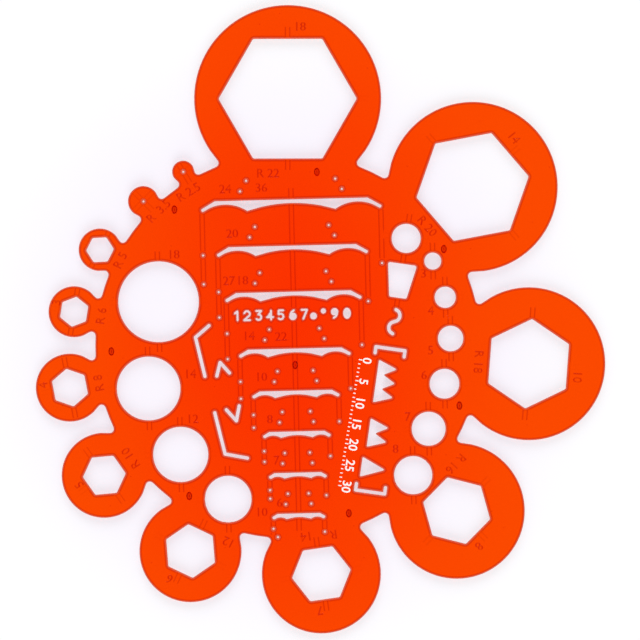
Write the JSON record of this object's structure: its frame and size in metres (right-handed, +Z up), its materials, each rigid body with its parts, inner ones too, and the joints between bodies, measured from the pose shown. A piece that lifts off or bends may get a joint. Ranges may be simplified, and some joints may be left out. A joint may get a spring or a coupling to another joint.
{
  "type": "drafting template",
  "caption": "Flat tinted plastic drafting template with radius lobes round a disc, nut and circle openings, bolt-head slots, symbol openings and small ink risers underneath.",
  "frame": {"origin": "middle of the outline's box, on the surface that the riser feet stand on", "axes": "+Z up through the sheet to its printed face, +Y along the bolt column to the largest lobe, +X to the right as the numbers are read"},
  "size_m": [0.134, 0.148, 0.0017],
  "materials": {
    "tinted_sheet": "clear orange-red tint, polished faces",
    "tinted_riser": "clear orange-red tint, smooth"
  },
  "bodies": {
    "root": {"template_sheet": "tinted_sheet", "ink_riser_1": "tinted_riser", "ink_riser_2": "tinted_riser", "ink_riser_3": "tinted_riser", "ink_riser_4": "tinted_riser", "ink_riser_5": "tinted_riser", "ink_riser_6": "tinted_riser", "ink_riser_7": "tinted_riser", "ink_riser_8": "tinted_riser"}
  },
  "joints": []
}
